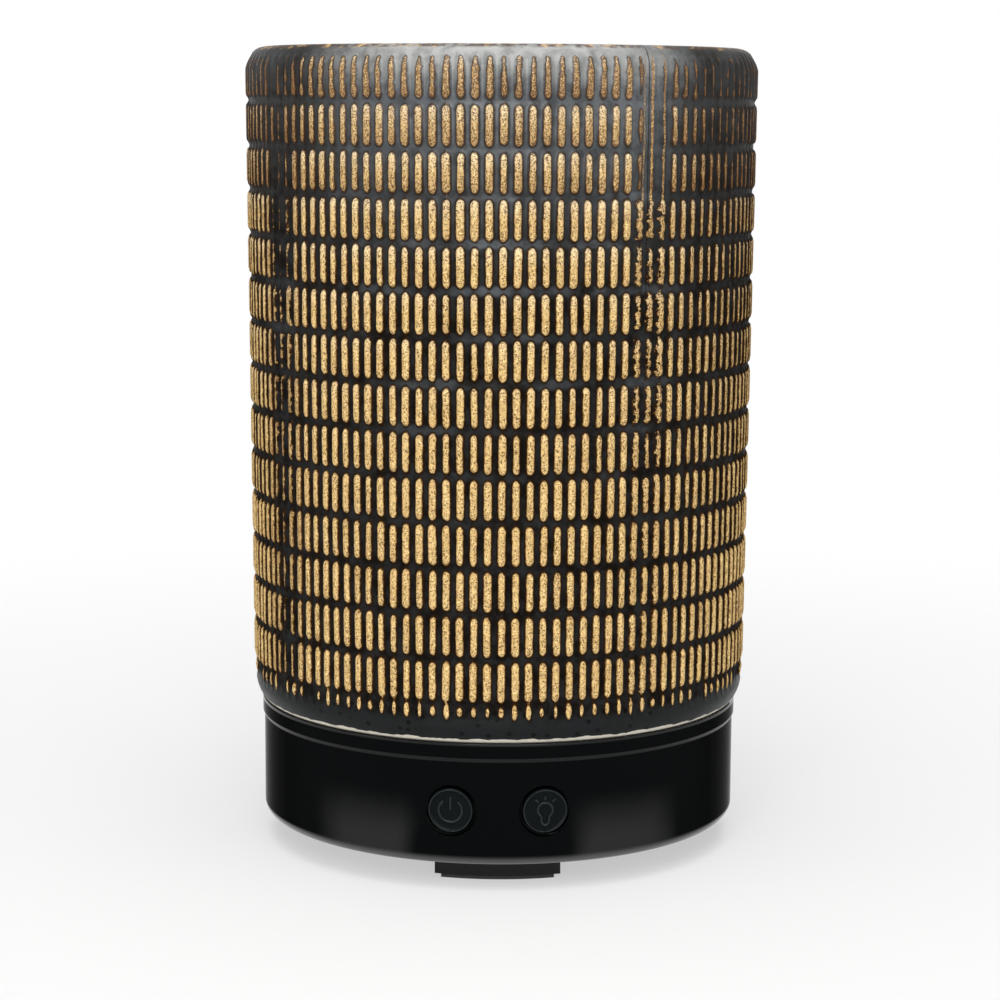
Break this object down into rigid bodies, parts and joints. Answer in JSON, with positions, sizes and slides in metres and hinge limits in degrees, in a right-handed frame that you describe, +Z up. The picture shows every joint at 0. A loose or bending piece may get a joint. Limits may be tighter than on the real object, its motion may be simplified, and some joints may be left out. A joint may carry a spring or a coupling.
{
  "type": "essential oil diffuser",
  "caption": "Ultrasonic aroma diffuser: a ribbed, glazed ceramic shade lifts off a black plastic base that holds a water tank, mist cover, fan, piezo disc and push buttons.",
  "frame": {"origin": "centre of the footprint, on the table", "axes": "+Z up, -Y towards the front with the two buttons, +Y towards the power inlet"},
  "size_m": [0.094, 0.094, 0.147],
  "materials": {
    "shade_glaze": "dark glossy glaze with bare ochre ridge crests",
    "black_gloss": "high gloss moulded",
    "clear_white_plastic": "translucent satin moulded",
    "silicone": "soft matt",
    "pad_rubber": "matt",
    "screw_steel": "zinc plated",
    "shaft_steel": "polished",
    "pin_nickel": "nickel plated",
    "brass": "plain",
    "clamp_steel": "stamped",
    "green_board": "solder mask",
    "white_board": "white solder mask",
    "led_lens": "resin",
    "black_plastic": "moulded",
    "copper_winding": "enamelled wire",
    "capacitor_sleeve": "shrink sleeve",
    "ferrite": "sintered",
    "chip_resin": "moulded resin",
    "connector_nylon": "moulded nylon",
    "terminal_tin": "tinned",
    "wire_sleeve_red": "PVC",
    "wire_sleeve_white": "PVC",
    "wire_sleeve_blue": "PVC"
  },
  "bodies": {
    "base": {"water_tank": "clear_white_plastic", "tank_seal": "silicone", "tank_screws": "screw_steel", "top_deck": "black_gloss", "lower_housing": "black_gloss", "foot_pads": "pad_rubber", "housing_screws": "screw_steel", "piezo_disc": "brass", "piezo_seal": "silicone", "piezo_clamp": "clamp_steel", "piezo_screws": "screw_steel", "led_board": "white_board", "leds": "led_lens", "led_screws": "screw_steel", "fan_frame": "black_plastic", "fan_stator": "copper_winding", "fan_bearing": "brass", "fan_screws": "screw_steel", "main_pcb": "green_board", "pcb_screws": "screw_steel", "capacitors": "capacitor_sleeve", "inductor": "ferrite", "mosfet": "chip_resin", "ic_chips": "chip_resin", "connectors": "connector_nylon", "switch_board": "green_board", "tact_switches": "black_plastic", "dc_jack": "black_plastic", "dc_jack_pin": "pin_nickel", "jack_terminals": "terminal_tin", "fan_wires": "wire_sleeve_red", "piezo_wires": "wire_sleeve_white", "led_wires": "wire_sleeve_white", "jack_wires": "wire_sleeve_red", "switch_wires": "wire_sleeve_blue"},
    "shade": {"ceramic_shade": "shade_glaze"},
    "mist_cover": {"inner_lid": "clear_white_plastic"},
    "power_button": {"power_button": "black_gloss", "power_switch_stem": "black_plastic"},
    "light_button": {"light_button": "black_gloss", "light_switch_stem": "black_plastic"},
    "fan": {"fan_rotor": "black_plastic", "fan_shaft": "shaft_steel"}
  },
  "joints": [
    {"name": "power_press", "type": "slide", "parent": "base", "child": "power_button", "axis": [0, 1, 0], "range_m": [0, 0.0006], "stiffness_N_per_m": 800, "springref_m": -0.0005},
    {"name": "light_press", "type": "slide", "parent": "base", "child": "light_button", "axis": [0, 1, 0], "range_m": [0, 0.0006], "stiffness_N_per_m": 800, "springref_m": -0.0005},
    {"name": "shade_lift", "type": "slide", "parent": "base", "child": "shade", "axis": [0, 0, 1], "range_m": [0, 0.24]},
    {"name": "lid_lift", "type": "slide", "parent": "base", "child": "mist_cover", "axis": [0, 0, 1], "range_m": [0, 0.12]},
    {"name": "fan_spin", "type": "hinge", "parent": "base", "child": "fan", "pos_m": [0, 0.01, 0.011], "axis": [0, 0, 1], "continuous": true}
  ],
  "couplings": [
    {"joint": "lid_lift", "follows": "shade_lift", "ratio": 0.5}
  ]
}
